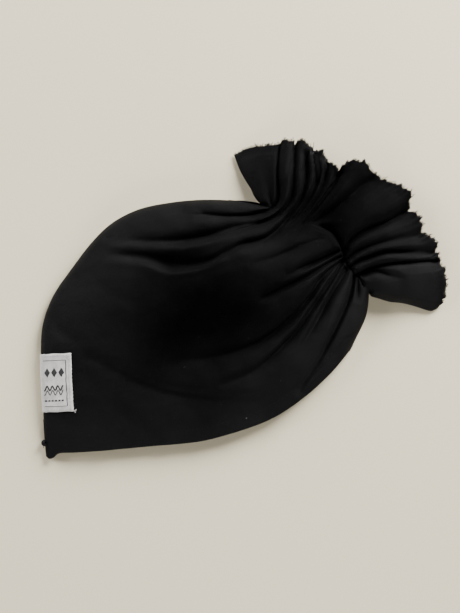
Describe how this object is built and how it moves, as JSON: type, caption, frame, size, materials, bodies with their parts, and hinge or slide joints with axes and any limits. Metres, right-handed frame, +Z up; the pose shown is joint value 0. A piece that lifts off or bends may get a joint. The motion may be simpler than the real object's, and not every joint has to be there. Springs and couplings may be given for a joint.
{
  "type": "gathered jersey hat",
  "caption": "Soft double-layer knit hat lying flat, its crown gathered by wound elastic into a raw-edged frill, with a folded ribbon label at the side fold.",
  "frame": {"origin": "centre of the flat-lying hat's bounding box, on the table it rests on", "axes": "+Z up from the table; +X along the hat's longer side, from the label's fold towards the gathered crown; +Y from the mouth towards the top of the crown"},
  "size_m": [0.2195, 0.1713, 0.0184],
  "materials": {
    "outer_jersey": "matt black cotton jersey with a soft sheen",
    "lining_jersey": "matt black cotton jersey",
    "overlocked_seam": "black overlock thread over jersey",
    "black_thread": "black polyester thread",
    "elastic_cord": "black braided elastic",
    "label_ribbon": "off-white woven satin ribbon",
    "label_thread": "pale grey thread"
  },
  "bodies": {
    "hat": {"outer_front_panel": "outer_jersey", "outer_back_panel": "outer_jersey", "lining_front_panel": "lining_jersey", "lining_back_panel": "lining_jersey", "outer_left_seam": "overlocked_seam", "outer_right_seam": "overlocked_seam", "lining_left_seam": "overlocked_seam", "lining_right_seam": "overlocked_seam", "hem_stitching_front": "black_thread", "hem_stitching_back": "black_thread", "gather_elastic": "elastic_cord", "woven_label": "label_ribbon", "label_stitching": "label_thread", "seam_end_knot": "black_thread"},
    "frill": {"frill_outer_front": "outer_jersey", "frill_lining_front": "lining_jersey", "frill_lining_back": "lining_jersey", "frill_outer_back": "outer_jersey"}
  },
  "joints": [
    {"name": "frill_flop", "type": "hinge", "parent": "hat", "child": "frill", "pos_m": [0.0425, 0.03, 0.01], "axis": [0.7431, -0.6691, 0], "range_deg": [0, 80]}
  ]
}
